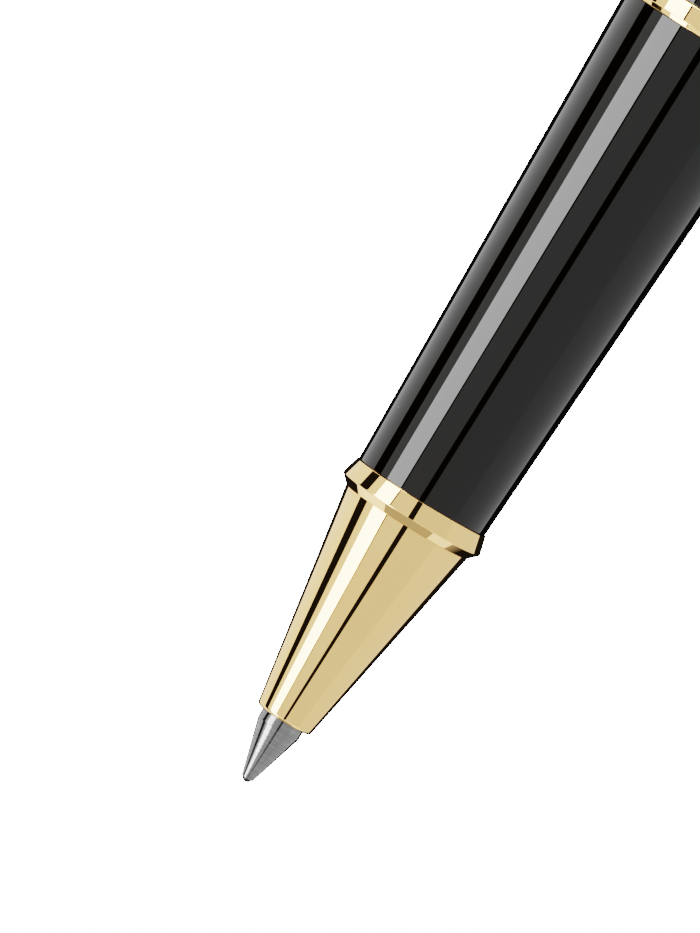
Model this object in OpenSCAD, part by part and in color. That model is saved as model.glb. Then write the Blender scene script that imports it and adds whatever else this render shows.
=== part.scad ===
// Rollerball pen with a push-on cap, posted on its tail.
// The pen stands on its writing point: the point is at the origin and +Z runs along the pen to its tail.
// Millimetres throughout. The clip faces -Y.

/* [Refill] */
// Length of the refill from the writing point to its rear end
refill_len = 110; // [95:1:125]
// Radius of the refill's tube
refill_r = 3.0; // [2.6:0.05:3.6]
// Wall of the refill's tube
refill_wall = 0.4; // [0.3:0.05:0.55]
// Radius of the writing ball
ball_r = 0.3; // [0.25:0.05:0.4]
// Radius of the steel point's shank
point_r = 1.32; // [1.1:0.02:1.6]
// Length of the steel point's cone, ball included
cone_len = 3.54; // [2.9:0.02:3.9]
// Radius of the wick
wick_r = 0.33; // [0.25:0.01:0.4]

/* [Nose and collar] */
// How far the steel point stands out of the nose cone
point_out = 4.1; // [4:0.05:5.2]
// Length of the nose cone that shows
nose_len = 13.16; // [10.9:0.02:16]
// Rounding of the nose cone's mouth
nose_round = 0.28; // [0.1:0.02:0.3]
// Wall of the nose cone at its mouth
nose_lip = 0.325; // [0.31:0.005:0.5]
// Step from the nose cone up to the grip
nose_step = 0.16; // [0.1:0.02:0.3]
// Height of the flared collar behind the nose cone
collar_h = 1.64; // [1.4:0.02:2.2]
// How far the collar stands out past the grip
collar_proud = 0.35; // [0.28:0.01:0.5]

/* [Grip] */
// Length of the grip
grip_len = 30.3; // [25:0.1:37]
// Wall of the grip's resin at its front
grip_wall = 0.557; // [0.4:0.001:0.9]
// Wall of the brass core under the grip
core_wall = 0.4; // [0.3:0.05:0.6]
// Wall of the core's threaded neck, over the thread's crests
neck_wall = 0.75; // [0.65:0.05:1.0]
// Shoulder of the grip around the neck
grip_shoulder = 1.35; // [1.1:0.05:1.8]
// Height of the trim ring at the seam
trim_h = 1.35; // [1.1:0.05:2.0]
// How far the trim ring stands out past the grip
trim_proud = 0.2; // [0.1:0.02:0.4]

/* [Thread] */
// Pitch of the thread between grip and barrel
pitch = 1.0; // [0.8:0.1:1.25]
// Turns of the thread
turns = 5; // [3:1:6]
// Height of the thread's ridge
thread_h = 0.32; // [0.2:0.02:0.36]

/* [Barrel] */
// Wall of the brass thread insert
insert_wall = 0.5; // [0.4:0.05:0.7]
// Wall of the barrel's resin over the insert
barrel_wall = 0.8; // [0.6:0.05:1.2]
// How much the barrel swells past its seam
barrel_swell = 0.12; // [0:0.02:0.3]
// Radius of the barrel at its tail ring
tail_r = 4.4; // [4.2:0.02:4.8]
// Length of the refill's spring in place
spring_len = 9.5; // [8:0.1:12]
// Wire of the refill's spring
spring_wire = 0.45; // [0.3:0.05:0.5]
// Coils of the refill's spring
spring_coils = 8; // [6:1:10]
// Height of the ring at the barrel's tail
tail_ring_h = 0.8; // [0.6:0.05:1.2]
// Height of the dome on the tail
tail_dome_h = 4.6; // [3.8:0.1:5.6]

/* [Cap] */
// Wall of the cap at its lip
cap_wall = 0.75; // [0.65:0.05:1.0]
// Room beyond the point when the cap is on
point_room = 3.8; // [3.4:0.1:5]
// Length of the inner cap that seals the point
inner_cap_len = 17; // [14:0.5:20.5]
// Height of the wide band at the cap's lip
band_h = 4.0; // [3.3:0.1:5]
// Stretch of resin between the two bands
band_space = 1.5; // [1.2:0.1:2.2]
// Height of the narrow band above it
thin_band_h = 0.9; // [0.7:0.05:1.2]
// Radius of the cap under its clip ring
cap_top_r = 5.7; // [5.5:0.05:6]
// Height of the clip ring
clip_ring_h = 1.6; // [1.35:0.05:2]
// Height of the crown
crown_h = 6.4; // [5.3:0.1:7.8]

/* [Clip] */
// Length of the clip below its ring
clip_len = 38; // [31:1:42]
// Width of the clip at its root
clip_w = 3.8; // [3.1:0.1:4.6]
// Width of the clip above its foot
clip_waist = 2.3; // [1.9:0.1:2.9]
// Thickness of the clip
clip_t = 0.85; // [0.7:0.05:1.05]
// How far the clip's root stands off the ring
clip_off = 1.3; // [1.0:0.1:1.6]

/* [Fits] */
// Gap around what slides or turns
run_gap = 0.05; // [0.03:0.01:0.08]
// Gap around the refill in its bore
refill_gap = 0.2; // [0.15:0.01:0.3]
// Gap between the two threads
thread_gap = 0.1; // [0.08:0.01:0.14]
// Gap between parts that are fixed to one another
fit_gap = 0.01; // [0:0.005:0.02]
// Gap between flat faces that part when the pen is opened
face_gap = 0.02; // [0.01:0.01:0.05]

/* [Hidden] */
$fn = 96;
arc_steps = 6; // straight steps in each rounded corner of a turned profile
outline_steps = 40; // straight steps in each long curved outline
far = 40; // longer than any cross-section, for cutting tools

// Heights of the front's joints above the writing point
z_collar = point_out + nose_len;
z_grip = z_collar + collar_h;
z_seam = z_grip + grip_len;
z_barrel = z_seam + trim_h;

// Radii of the front, from the refill outwards
bore_r = refill_r + refill_gap;
core_r = bore_r + core_wall;
grip_r = core_r + grip_wall;
collar_r = grip_r + collar_proud;
nose_top_r = grip_r - nose_step;
mouth_bore = point_r + run_gap + 0.03;
mouth_r = mouth_bore + nose_lip;
nose_slope = (nose_top_r - mouth_r) / nose_len;
tenon_len = 2.0; // the nose cone's tenon inside the core
core_lap = 0.3; // how far the core reaches round the tenon below the grip

// Threaded neck, its relief and its insert
neck_r = bore_r + neck_wall;
root_r = neck_r - thread_h - 0.05;
grip_end_r = neck_r + grip_shoulder;
trim_r = grip_end_r + trim_proud;
neck_relief = 1.4; // plain stretch of the neck inside the seam, before its thread
thread_len = pitch * turns;
z_thread = z_barrel + neck_relief;
insert_bore = neck_r + thread_gap;
insert_r = insert_bore + insert_wall;
insert_len = neck_relief + thread_len + 1.0;
seal_r = (insert_bore - run_gap - root_r) / 2; // thickness of the rubber ring fills the relief

// Refill
holder_r = 2.05;
holder_room = 0.15; // around the holder's front, inside the nose cone
shank_len = 4.46; // steel point's full radius, behind its cone
z_shank = cone_len + shank_len;
point_tail_r = 0.9;
point_tail_len = 3;
holder_taper = 3.2;
z_holder = z_shank + holder_taper;
z_stop = z_grip + tenon_len + face_gap; // the refill's shoulder rests here, on the tenon
collar_len = 0.8; // holder's collar between the tenon and the tube
spigot_len = 4.2; // holder inside the tube
tube_bore = refill_r - refill_wall;
channel_r = wick_r + 0.03;
z_wick = 1.7;
z_reservoir = z_stop + collar_len + spigot_len + 0.2;
wick_bite = 5.5; // wick inside the reservoir
nib_len = 3; // plug's nib inside the spring
plug_cap_len = 0.6; // plug's full radius behind the tube
plug_len = 3.9; // plug inside the tube
z_plug = refill_len - nib_len;

// Spring and tail
spring_r = refill_r - spring_wire / 2 - 0.3; // middle of the spring's wire
nib_r = spring_r - spring_wire / 2 - 0.3;
z_seat = z_plug + spring_len;
seat_h = 2.2;
seat_r = bore_r + 0.08;
barrel_bore = bore_r + 0.1;
tail_tenon_h = 3.0;
tail_tenon_r = barrel_bore - fit_gap;
z_tail = z_seat + seat_h + tail_tenon_h;
z_dome = z_tail + tail_ring_h;
z_end = z_dome + tail_dome_h;

// The barrel's outline is one shallow arc, widest a little behind the seam
barrel_r = insert_r + barrel_wall;
swell_r = barrel_r + barrel_swell;
z_swell = z_barrel + 10;

// Cap: it rests where its inner cap would meet the tail
grip_room = 0.12; // around the grip and the posted barrel
post_gap = 1.5; // between the tail and the inner cap
end_wall = 1.2; // cap tube above its bore
cap_depth = z_seam + point_room;
z_lip = z_end - (cap_depth - inner_cap_len) + post_gap;
z_cap_end = z_lip + cap_depth;
z_cap_top = z_cap_end + end_wall;
z_crown = z_cap_top + clip_ring_h;
cap_bore = max(grip_end_r, barrel_at(z_lip)) + grip_room;
cap_lip_r = cap_bore + cap_wall;
cap_swell = 0.05;
clip_ring_r = cap_top_r + 0.15;

// Bands: rings in a shallow seat of the cap tube
band_seat_r = cap_lip_r - 0.35;
band_proud = 0.06;
z_resin = z_lip + band_h; // top of the wide band
z_thin = z_resin + band_space;
z_thin_top = z_thin + thin_band_h;

// Clutch: it rides in a groove of the cap tube
z_clutch = z_lip + 3.0;
clutch_h = 2.4;
clutch_t = 0.28;
clutch_flare = 0.1;
clutch_r = barrel_at(z_clutch) + 0.04;
groove_r = clutch_r + clutch_t + clutch_flare + run_gap;

// Screw through the inner cap into the crown
screw_r = 1.5;
screw_head_r = 2.4;
screw_head_h = 1.1;
washer_t = 0.3;
inner_wall = 1.4; // end wall of the inner cap
z_inner_end = z_cap_end - face_gap - inner_wall; // inner face of that wall
crown_boss_r = screw_r + 1.2;
screw_bite = 2.0; // screw above the clip ring

// Clip
lug_depth = 1.3; // clip's lug inside the ring
lug_gap = 0.08;
z_lug = z_cap_top + (clip_ring_h - clip_t) / 2; // lower face of the lug
foot_r = 1.2;
foot_gap = 0.1;

// Radius of the nose cone's outline at a height
function nose_at(z) = mouth_r + nose_slope * (z - point_out);
// Radius of the barrel's outline at a height
function barrel_at(z) = swell_r - (swell_r - tail_r) * pow((z - z_swell) / (z_tail - z_swell), 2);
// Radius of the cap's outline at a height
function cap_at(z) = let (t = (z - z_lip) / (z_cap_top - z_lip))
    cap_lip_r + cap_swell * sin(180 * t) - (cap_lip_r - cap_top_r) * pow(t, 3);

// Points of an arc in the plane of a turned profile
function arc(r, z, radius, from, to, steps = arc_steps) =
    [for (i = [0:steps]) let (a = from + (to - from) * i / steps)
        [r + radius * cos(a), z + radius * sin(a)]];
// Outer edge of a ring with both corners rounded
function round_edge(r, low, high, edge) =
    concat(arc(r - edge, low + edge, edge, -90, 0), arc(r - edge, high - edge, edge, 0, 90));
// Points [outline(z), z] over a stretch
function along(from, to, steps, outline) =
    [for (i = [0:steps]) let (z = from + (to - from) * i / steps) [outline(z), z]];
// A dome: a quarter of a superellipse of base radius r and height h
function dome(r, z, h, fullness) =
    [for (i = [0:outline_steps / 2]) let (a = 180 * i / outline_steps)
        [r * pow(cos(a), fullness), z + h * pow(sin(a), fullness)]];

// Faces of a polyhedron made of rings of points, with its two ends closed
function ring_faces(rings, sides) = concat(
    [for (i = [0:rings - 1], k = [0:sides - 1]) let (n = (k + 1) % sides)
        [i * sides + k, (i + 1) * sides + k, i * sides + n]],
    [for (i = [0:rings - 1], k = [0:sides - 1]) let (n = (k + 1) % sides)
        [i * sides + n, (i + 1) * sides + k, (i + 1) * sides + n]],
    [[for (k = [0:sides - 1]) k]],
    [[for (k = [sides - 1:-1:0]) rings * sides + k]]
);

module turned(profile) rotate_extrude() polygon(profile);

module tube(from, to, inner, outer) turned([[inner, from], [outer, from], [outer, to], [inner, to]]);

// A solid screw whose radius follows a ridge with flat crest and root
module screw(crest, from, to) {
    sides = 32;
    rings = ceil((to - from) / pitch * 8);
    middle = crest - thread_h / 2;
    points = [for (i = [0:rings], k = [0:sides - 1])
        let (z = from + (to - from) * i / rings, a = 360 * k / sides)
        let (wave = 1.5 * cos(a - 360 * (z - z_thread) / pitch))
        let (r = middle + thread_h / 2 * max(-1, min(1, wave)))
        [r * cos(a), r * sin(a), z]];
    polyhedron(points, ring_faces(rings, sides));
}

// Refill ---------------------------------------------------------------

module writing_ball() color("dimgray") translate([0, 0, ball_r]) sphere(ball_r);

// Steel point: a crimped lip round the ball, a cone, a shank and a thinner tail that plugs into the holder
module refill_point() color("darkgray") {
    z_crimp = ball_r * 0.66;
    crimp_r = ball_r + 0.06;
    edge = 0.1;
    ink_r = ball_r / 2; // ink's way to the ball
    difference() {
        turned(concat(
            [[0, z_crimp]],
            arc(crimp_r - edge, z_crimp + edge, edge, -90, -17),
            [[point_r, cone_len], [point_r, z_shank], [point_tail_r, z_shank]],
            [[point_tail_r, z_shank + point_tail_len], [0, z_shank + point_tail_len]]
        ));
        translate([0, 0, ball_r]) sphere(ball_r + fit_gap);
        cylinder(r = ink_r, h = z_wick);
        translate([0, 0, z_wick - 0.1]) cylinder(r = channel_r, h = far);
    }
}

// Plastic holder: carries the steel point and plugs into the tube
module point_holder() color("dimgray") difference() {
    inside = tube_bore - fit_gap;
    turned([
        [0, z_shank], [point_r + 0.03, z_shank], [holder_r, z_holder], [holder_r, z_stop],
        [refill_r, z_stop], [refill_r, z_stop + collar_len], [inside, z_stop + collar_len],
        [inside, z_stop + collar_len + spigot_len], [0, z_stop + collar_len + spigot_len]
    ]);
    translate([0, 0, z_shank - 1]) cylinder(r = point_tail_r + fit_gap, h = 1 + point_tail_len + fit_gap);
    cylinder(r = channel_r, h = 2 * far);
}

module refill_tube() color("black") tube(z_stop + collar_len, z_plug - plug_cap_len, tube_bore, refill_r);

// Fibre rod that holds the ink, bored for the wick
module ink_reservoir() color("midnightblue") difference() {
    top = z_plug - plug_cap_len - plug_len - 1.5;
    translate([0, 0, z_reservoir]) cylinder(r = tube_bore - 0.1, h = top - z_reservoir);
    translate([0, 0, z_reservoir - 1]) cylinder(r = wick_r + fit_gap, h = 1 + wick_bite + 0.5);
}

// Wick from behind the ball into the reservoir
module feed_wick() color("navy") translate([0, 0, z_wick])
    cylinder(r = wick_r, h = z_reservoir + wick_bite - z_wick);

// Rear plug of the refill, with a nib inside the spring and a vent
module refill_plug() color("dimgray") difference() {
    inside = tube_bore - fit_gap;
    front = z_plug - plug_cap_len;
    chamfer = 0.4;
    turned([
        [0, front - plug_len], [inside, front - plug_len], [inside, front], [refill_r, front],
        [refill_r, z_plug], [nib_r, z_plug], [nib_r, refill_len - chamfer],
        [nib_r - chamfer, refill_len], [0, refill_len]
    ]);
    translate([0, 0, front - plug_len - 1]) cylinder(r = 0.4, h = far);
}

// Front ----------------------------------------------------------------

// Turned nose: a rounded mouth, a straight cone and a tenon that screws into the core
module nose_cone() color("gold") difference() {
    tenon_r = bore_r - fit_gap;
    turned(concat(
        [[0, point_out]],
        arc(mouth_r - nose_round, point_out + nose_round, nose_round, -90, -atan(nose_slope)),
        [[nose_top_r, z_collar], [core_r - fit_gap, z_collar], [core_r - fit_gap, z_grip - core_lap]],
        [[tenon_r, z_grip - core_lap], [tenon_r, z_grip + tenon_len], [0, z_grip + tenon_len]]
    ));
    turned([
        [0, point_out - 1], [mouth_bore, point_out - 1], [mouth_bore, z_shank - 0.2],
        [holder_r + holder_room, z_holder - 0.3], [holder_r + holder_room, z_stop + 1], [0, z_stop + 1]
    ]);
}

// Flared collar between nose and grip: a chamfer underneath, and a band that narrows upwards
module collar_ring() color("gold") {
    edge = 0.13; // rounding at the widest edge
    flare = 15; // slope of the band, degrees
    foot = nose_top_r + 0.03;
    z_wide = z_collar + (collar_r - foot) + edge * 0.4;
    rise = z_grip - z_wide;
    turned(concat(
        [[core_r, z_collar], [foot, z_collar]],
        arc(collar_r - edge, z_wide, edge, -45, flare),
        [[collar_r - rise * tan(flare), z_grip - face_gap], [core_r, z_grip - face_gap]]
    ));
}

module grip_sleeve() color("black") {
    edge = 0.05;
    turned([
        [core_r + fit_gap, z_grip], [grip_r - edge, z_grip], [grip_r, z_grip + edge],
        [grip_end_r, z_seam - edge], [grip_end_r - edge, z_seam], [core_r + fit_gap, z_seam]
    ]);
}

// Brass core: lines the grip and carries the thread for the barrel
module grip_core() color("goldenrod") difference() {
    union() {
        turned([
            [0, z_grip - core_lap + face_gap], [core_r, z_grip - core_lap + face_gap], [core_r, z_seam],
            [neck_r - face_gap, z_seam], [neck_r - face_gap, z_barrel + 0.2], [root_r, z_barrel + 0.2],
            [root_r, z_thread + thread_len + 0.6], [0, z_thread + thread_len + 0.6]
        ]);
        screw(neck_r, z_thread, z_thread + thread_len);
    }
    translate([0, 0, z_grip - 1]) cylinder(r = bore_r, h = z_thread + thread_len + 2 - z_grip);
}

// Rubber ring in the neck's relief, which keeps the barrel from working loose
module neck_seal() color("black") translate([0, 0, z_barrel + 0.2 + face_gap + seal_r]) rotate_extrude()
    translate([root_r + seal_r, 0]) circle(seal_r, $fn = 32);

// Seam -----------------------------------------------------------------

// Trim ring with a fine bead in front of its band
module trim_ring() color("gold") {
    low = z_seam + face_gap;
    high = z_barrel - face_gap;
    bead_h = 0.26;
    bead_r = trim_r - 0.12;
    edge = 0.1;
    turned(concat(
        [[neck_r + run_gap, low]],
        arc(bead_r - 0.04, low + 0.04, 0.04, -90, 0, 3),
        [[bead_r, low + bead_h]],
        arc(trim_r - edge, low + bead_h + edge, edge, -60, 0),
        arc(trim_r - edge, high - edge, edge, 0, 90),
        [[neck_r + run_gap, high]]
    ));
}

// Barrel ---------------------------------------------------------------

module barrel_tube() color("black") {
    edge = 0.08;
    step = z_barrel + insert_len + 0.5;
    turned(concat(
        [[insert_r + fit_gap, z_barrel], [barrel_at(z_barrel) - edge, z_barrel]],
        along(z_barrel + edge, z_tail, outline_steps, function (z) barrel_at(z)),
        [[barrel_bore, z_tail], [barrel_bore, step], [insert_r + fit_gap, step]]
    ));
}

// Brass insert with the other half of the thread
module thread_insert() color("goldenrod") difference() {
    tube(z_barrel + face_gap, z_barrel + insert_len, 0, insert_r);
    screw(insert_bore, z_thread - 2 * pitch, z_thread + thread_len + 3 * pitch);
    translate([0, 0, z_barrel - 1]) cylinder(r = insert_bore + 0.04, h = 1 + neck_relief - 0.2);
}

// Spring behind the refill: closed end coils, open ones between
module refill_spring() color("silver") {
    sides = 8;
    steps = spring_coils * 14;
    closed = 1 / spring_coils; // share of the wire in each end coil
    rise = spring_wire * 1.06; // height of an end coil
    reach = spring_len - spring_wire - 2 * face_gap;
    height = function (t) t < closed ? rise * t / closed
        : t > 1 - closed ? reach - rise * (1 - t) / closed
        : rise + (reach - 2 * rise) * (t - closed) / (1 - 2 * closed);
    points = [for (i = [0:steps], k = [sides - 1:-1:0])
        let (t = i / steps, a = 360 * spring_coils * t, b = 360 * k / sides)
        let (r = spring_r + spring_wire / 2 * cos(b))
        let (z = z_plug + face_gap + spring_wire / 2 * (1 + sin(b)) + height(t))
        [r * cos(a), r * sin(a), z]];
    polyhedron(points, ring_faces(steps, sides));
}

// Cup that the spring pushes against
module spring_seat() color("dimgray") {
    nose = 1.4;
    chamfer = 0.4;
    turned([
        [0, z_seat - nose], [nib_r - chamfer, z_seat - nose], [nib_r, z_seat - nose + chamfer],
        [nib_r, z_seat], [seat_r, z_seat], [seat_r, z_seat + seat_h], [0, z_seat + seat_h]
    ]);
}

module tail_ring() color("gold") turned(concat(
    [[tail_tenon_r + fit_gap, z_tail]],
    round_edge(tail_r + 0.08, z_tail, z_dome, 0.12),
    [[tail_tenon_r + fit_gap, z_dome]]
));

// Domed end with a tenon that closes the barrel
module tail_plug() color("black") {
    base = tail_r - 0.04;
    low = z_tail - tail_tenon_h + face_gap;
    turned(concat(
        [[0, low], [tail_tenon_r, low], [tail_tenon_r, z_dome]],
        dome(base, z_dome, tail_dome_h, 0.85)
    ));
}

// Cap ------------------------------------------------------------------

// Split spring ring that rides in the cap's groove and grips the barrel
module clutch_ring() color("silver") {
    split = 20; // opening, degrees
    flare_h = 0.5;
    top = z_clutch + clutch_h;
    outer = clutch_r + clutch_t;
    rotate([0, 0, 90 + split / 2]) rotate_extrude(angle = 360 - split) polygon([
        [clutch_r + clutch_flare, z_clutch], [outer + clutch_flare, z_clutch],
        [outer, z_clutch + flare_h], [outer, top - flare_h],
        [outer + clutch_flare, top], [clutch_r + clutch_flare, top],
        [clutch_r, top - flare_h], [clutch_r, z_clutch + flare_h]
    ]);
}

module cap_tube() color("black") difference() {
    turned(concat(
        [[0, z_lip + 0.1], [band_seat_r, z_lip + 0.1], [band_seat_r, z_resin]],
        along(z_resin, z_thin, 3, function (z) cap_at(z)),
        [[band_seat_r, z_thin], [band_seat_r, z_thin_top]],
        along(z_thin_top, z_cap_top, outline_steps, function (z) cap_at(z)),
        [[0, z_cap_top]]
    ));
    translate([0, 0, z_lip - 1]) cylinder(r = cap_bore, h = cap_depth + 1);
    translate([0, 0, z_clutch - run_gap]) cylinder(r = groove_r, h = clutch_h + 2 * run_gap);
    translate([0, 0, z_cap_end - 1]) cylinder(r = screw_r + fit_gap, h = far);
}

// Wide band that wraps the lip
module lip_band() color("gold") {
    turned(concat(
        [[cap_bore, z_lip + 0.1 - fit_gap], [cap_bore, z_lip]],
        round_edge(cap_lip_r + band_proud, z_lip, z_resin, 0.15),
        [[band_seat_r + fit_gap, z_resin], [band_seat_r + fit_gap, z_lip + 0.1 - fit_gap]]
    ));
}

module thin_band() color("gold") turned(concat(
    [[band_seat_r + fit_gap, z_thin + fit_gap]],
    round_edge(cap_lip_r + cap_swell + band_proud, z_thin + fit_gap, z_thin_top - fit_gap, 0.2),
    [[band_seat_r + fit_gap, z_thin_top - fit_gap]]
));

// Plastic cup whose mouth closes round the nose cone when the cap is on
module inner_cap() color("dimgray") {
    low = z_cap_end - inner_cap_len;
    high = z_cap_end - face_gap;
    outer = cap_bore - run_gap;
    inner = nose_at(inner_cap_len - point_room) + run_gap;
    lead = 1.2; // taper at the mouth
    difference() {
        turned([[0, low], [inner + 0.6, low], [outer, low + lead], [outer, high], [0, high]]);
        turned([
            [0, low - 1], [inner + 0.2, low - 1], [inner + 0.2, low], [inner, low + 0.8],
            [inner, z_inner_end], [0, z_inner_end]
        ]);
        translate([0, 0, low]) cylinder(r = screw_r + fit_gap, h = far);
    }
}

// Ring under the crown, slotted for the clip's lug
module clip_ring() color("gold") difference() {
    turned(concat(
        [[crown_boss_r, z_cap_top]],
        round_edge(clip_ring_r, z_cap_top, z_crown, 0.25),
        [[crown_boss_r, z_crown]]
    ));
    translate([-clip_w / 2 - lug_gap, -far, z_lug - lug_gap])
        cube([clip_w + 2 * lug_gap, far - clip_ring_r + lug_depth + lug_gap, clip_t + 2 * lug_gap]);
}

// Domed crown with a boss that the screw pulls down
module cap_crown() color("black") {
    boss = crown_boss_r - fit_gap;
    base = clip_ring_r - 0.2;
    difference() {
        turned(concat(
            [[0, z_cap_top], [boss, z_cap_top], [boss, z_crown]],
            dome(base, z_crown, crown_h, 0.8)
        ));
        translate([0, 0, z_cap_top - 1])
            cylinder(r = screw_r + fit_gap, h = 1 + clip_ring_h + screw_bite + 0.2);
    }
}

// Slotted screw through the inner cap and the cap tube into the crown
module crown_screw() color("goldenrod") {
    z_under = z_inner_end - washer_t - 2 * fit_gap; // underside of the head, against the washer
    low = z_under - screw_head_h;
    chamfer = 0.2;
    slot_w = 0.5;
    difference() {
        turned([
            [0, low], [screw_head_r - chamfer, low], [screw_head_r, low + chamfer], [screw_head_r, z_under],
            [screw_r, z_under], [screw_r, z_crown + screw_bite], [0, z_crown + screw_bite]
        ]);
        translate([-slot_w / 2, -far / 2, low - 1]) cube([slot_w, far, 1 + screw_head_h / 2]);
    }
}

module screw_washer() color("silver")
    tube(z_inner_end - washer_t - fit_gap, z_inner_end - fit_gap, screw_r + fit_gap, screw_head_r + 0.3);

// Clip: a bent blade with a lug in the ring at one end and a rounded foot at the other
module clip() color("gold") {
    z_foot = z_cap_top - clip_len; // middle of the foot
    foot_y = cap_at(z_foot) + foot_gap + foot_r;
    blade_in = clip_ring_r + clip_off;
    blade_out = blade_in + clip_t;
    bend = clip_off * 0.6; // inner radius of the bend
    z_bend = z_lug - bend;
    lean = blade_out - foot_y - clip_t / 2 - 0.15; // how far the blade leans in towards its foot
    side = concat(
        [[clip_ring_r - lug_depth, z_lug], [clip_ring_r - lug_depth, z_lug + clip_t]],
        arc(blade_in - bend, z_bend, bend + clip_t, 90, 0),
        [[blade_out - lean, z_foot + foot_r]],
        arc(foot_y, z_foot, foot_r, 30, -210, 16),
        [[blade_in - lean, z_foot + foot_r + 0.4]],
        arc(blade_in - bend, z_bend, bend, 0, 90)
    );
    foot_w = clip_w / 2 - 0.1;
    front = concat(
        [[-clip_w / 2, z_crown], [-clip_w / 2, z_cap_top - 2], [-clip_waist / 2, z_foot + 2 * foot_w]],
        arc(0, z_foot, foot_w, 130, 410, 20),
        [[clip_waist / 2, z_foot + 2 * foot_w], [clip_w / 2, z_cap_top - 2], [clip_w / 2, z_crown]]
    );
    intersection() {
        rotate([90, 0, -90]) translate([0, 0, -far / 2]) linear_extrude(far) polygon(side);
        rotate([90, 0, 0]) linear_extrude(far) polygon(front);
    }
}

writing_ball();
refill_point();
point_holder();
refill_tube();
ink_reservoir();
feed_wick();
refill_plug();
nose_cone();
collar_ring();
grip_sleeve();
grip_core();
neck_seal();
trim_ring();
barrel_tube();
thread_insert();
refill_spring();
spring_seat();
tail_ring();
tail_plug();
clutch_ring();
cap_tube();
lip_band();
thin_band();
inner_cap();
clip_ring();
cap_crown();
crown_screw();
screw_washer();
clip();
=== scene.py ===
import math

import bpy
from mathutils import Matrix, Vector


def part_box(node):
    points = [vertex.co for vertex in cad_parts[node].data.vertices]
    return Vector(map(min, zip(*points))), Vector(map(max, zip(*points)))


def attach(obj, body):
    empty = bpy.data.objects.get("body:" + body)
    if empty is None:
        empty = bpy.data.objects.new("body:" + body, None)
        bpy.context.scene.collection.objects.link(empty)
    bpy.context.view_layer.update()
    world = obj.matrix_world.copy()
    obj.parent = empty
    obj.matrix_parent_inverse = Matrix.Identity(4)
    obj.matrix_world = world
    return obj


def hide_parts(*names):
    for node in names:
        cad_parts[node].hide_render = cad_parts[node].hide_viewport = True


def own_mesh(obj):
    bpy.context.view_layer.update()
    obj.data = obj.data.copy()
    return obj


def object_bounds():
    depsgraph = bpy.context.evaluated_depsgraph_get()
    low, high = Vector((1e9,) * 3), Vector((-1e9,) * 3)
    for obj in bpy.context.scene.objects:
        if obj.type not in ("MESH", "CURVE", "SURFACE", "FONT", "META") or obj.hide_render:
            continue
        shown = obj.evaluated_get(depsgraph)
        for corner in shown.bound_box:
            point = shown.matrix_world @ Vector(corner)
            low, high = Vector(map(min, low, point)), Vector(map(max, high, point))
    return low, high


# Rollerball pen with its cap posted, standing on its writing point.
# Lengths are in millimetres here and in metres in the scene.
mm = 0.001
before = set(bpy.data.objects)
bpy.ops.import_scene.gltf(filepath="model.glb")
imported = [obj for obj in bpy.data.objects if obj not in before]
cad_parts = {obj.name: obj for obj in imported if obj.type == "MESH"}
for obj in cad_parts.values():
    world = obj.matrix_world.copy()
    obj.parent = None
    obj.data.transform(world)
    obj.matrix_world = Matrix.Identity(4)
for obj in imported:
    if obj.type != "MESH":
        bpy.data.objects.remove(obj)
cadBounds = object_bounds()


def lowOf(node):
    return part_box(node)[0].z / mm


def highOf(node):
    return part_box(node)[1].z / mm


def radiusOf(node):
    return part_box(node)[1].x / mm


# Modelling helpers

def deselectAll():
    if bpy.context.mode != "OBJECT":
        bpy.ops.object.mode_set(mode="OBJECT")
    bpy.ops.object.select_all(action="DESELECT")


def applyPlace():
    bpy.ops.object.transform_apply(location=True, rotation=True, scale=True)


def addModifier(kind, **settings):
    piece = bpy.context.active_object
    bpy.ops.object.modifier_add(type=kind)
    modifier = piece.modifiers[-1]
    for key, value in settings.items():
        setattr(modifier, key, value)
    bpy.ops.object.modifier_apply(modifier=modifier.name)


supportShare, supportMost = 0.35, 0.05


# Corners (radius, height, rounding) become points; each rounding is an arc with a support ring at both ends
def rounded(corners, closed=True, arcStep=9):
    points = []
    count = len(corners)
    for i, (r, z, rounding) in enumerate(corners):
        here = Vector((r, z))
        isEnd = not closed and i in (0, count - 1)
        if not rounding or isEnd:
            points.append((r, z))
            continue
        back = (Vector(corners[i - 1][:2]) - here).normalized()
        ahead = (Vector(corners[(i + 1) % count][:2]) - here).normalized()
        half = (math.pi - back.angle(ahead)) / 2
        reach = rounding * math.tan(half)
        centre = here + (back + ahead).normalized() * rounding / math.cos(half)
        start, end = here + back * reach - centre, here + ahead * reach - centre
        support = min(supportShare * rounding, supportMost)
        points.append(tuple(centre + start + back * support))
        steps = max(3, math.ceil(math.degrees(2 * half) / arcStep))
        for k in range(steps + 1):
            points.append(tuple(centre + start.slerp(end, k / steps).normalized() * rounding))
        points.append(tuple(centre + end + ahead * support))
    return points


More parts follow.
